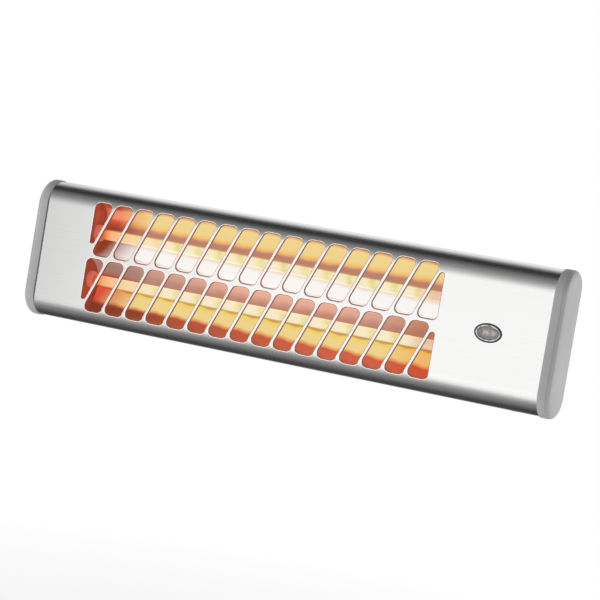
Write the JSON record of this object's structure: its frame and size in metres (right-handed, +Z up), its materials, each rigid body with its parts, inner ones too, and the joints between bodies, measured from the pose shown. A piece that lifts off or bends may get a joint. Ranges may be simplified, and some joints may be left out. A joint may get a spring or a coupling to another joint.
{
  "type": "electric bar heater",
  "caption": "Slim wall-mounted infra-red heater: glowing quartz tubes in curved reflectors behind a slotted brushed-steel front with grey end caps, tilting on a wall bracket.",
  "frame": {"origin": "middle of the wall bracket's back face, which lies on the wall", "axes": "+X along the heater to the right as seen from the room, +Y out of the bracket's back into the wall, +Z up"},
  "size_m": [0.52, 0.0715, 0.128],
  "materials": {
    "brushed_steel": "brushed along the heater, bright",
    "zinc_steel": "zinc-plated, satin",
    "grey_plastic": "moulded, fine texture, mid grey",
    "dark_plastic": "moulded, dark grey",
    "polished_aluminium": "bright-rolled reflector sheet",
    "quartz": "clear fused quartz, smooth",
    "hot_wire": "resistance wire, glowing orange",
    "steatite": "unglazed, cream",
    "brass": "turned, plain",
    "lens_plastic": "moulded clear lens, smoky pink-grey",
    "neon_glass": "small glow lamp, faint pink",
    "lead_sleeve": "glass-fibre sleeve, cream",
    "dark_steel": "passivated screws"
  },
  "bodies": {
    "bracket": {"wall_bracket": "zinc_steel", "left_pivot_screw": "dark_steel", "left_pivot_washer": "zinc_steel", "left_pivot_nut": "zinc_steel", "right_pivot_screw": "dark_steel", "right_pivot_washer": "zinc_steel", "right_pivot_nut": "zinc_steel"},
    "heater": {"front_housing": "brushed_steel", "rear_panel": "zinc_steel", "left_end_cap": "grey_plastic", "left_pivot_lug": "zinc_steel", "left_tube_plate": "zinc_steel", "right_end_cap": "grey_plastic", "right_pivot_lug": "zinc_steel", "right_tube_plate": "zinc_steel", "upper_reflector": "polished_aluminium", "upper_quartz_tube": "quartz", "upper_heating_coil": "hot_wire", "upper_left_ceramic": "steatite", "upper_left_terminal": "brass", "upper_right_ceramic": "steatite", "upper_right_terminal": "brass", "lower_reflector": "polished_aluminium", "lower_quartz_tube": "quartz", "lower_heating_coil": "hot_wire", "lower_left_ceramic": "steatite", "lower_left_terminal": "brass", "lower_right_ceramic": "steatite", "lower_right_terminal": "brass", "rear_screw_left_upper": "dark_steel", "rear_screw_left_lower": "dark_steel", "rear_screw_right_upper": "dark_steel", "rear_screw_right_lower": "dark_steel", "cap_screw_left_upper": "dark_steel", "cap_screw_left_lower": "dark_steel", "cap_screw_right_upper": "dark_steel", "cap_screw_right_lower": "dark_steel", "plate_screw_left_upper": "dark_steel", "plate_screw_left_lower": "dark_steel", "plate_screw_right_upper": "dark_steel", "plate_screw_right_lower": "dark_steel", "lamp_bezel": "dark_plastic", "lamp_lens": "lens_plastic", "neon_lamp": "neon_glass", "lamp_clip": "zinc_steel", "switch_body": "dark_plastic", "return_spring": "dark_steel", "cord_guide": "grey_plastic", "switch_hanger": "zinc_steel", "terminal_block": "steatite", "cable_gland": "dark_plastic", "gland_nut": "dark_plastic", "earth_screw": "brass", "element_link_lead": "lead_sleeve", "upper_element_lead": "lead_sleeve", "lower_element_lead": "lead_sleeve", "switch_lead": "lead_sleeve", "lamp_lead": "lead_sleeve"},
    "lever": {"pull_lever": "grey_plastic"}
  },
  "joints": [
    {"name": "tilt", "type": "hinge", "parent": "bracket", "child": "heater", "pos_m": [0, -0.018, 0], "axis": [1, 0, 0], "range_deg": [-40, 20]},
    {"name": "lever_pull", "type": "slide", "parent": "heater", "child": "lever", "axis": [0, 0, -1], "range_m": [0, 0.008], "stiffness_N_per_m": 300, "springref_m": -0.004, "deforming": ["return_spring"]}
  ]
}
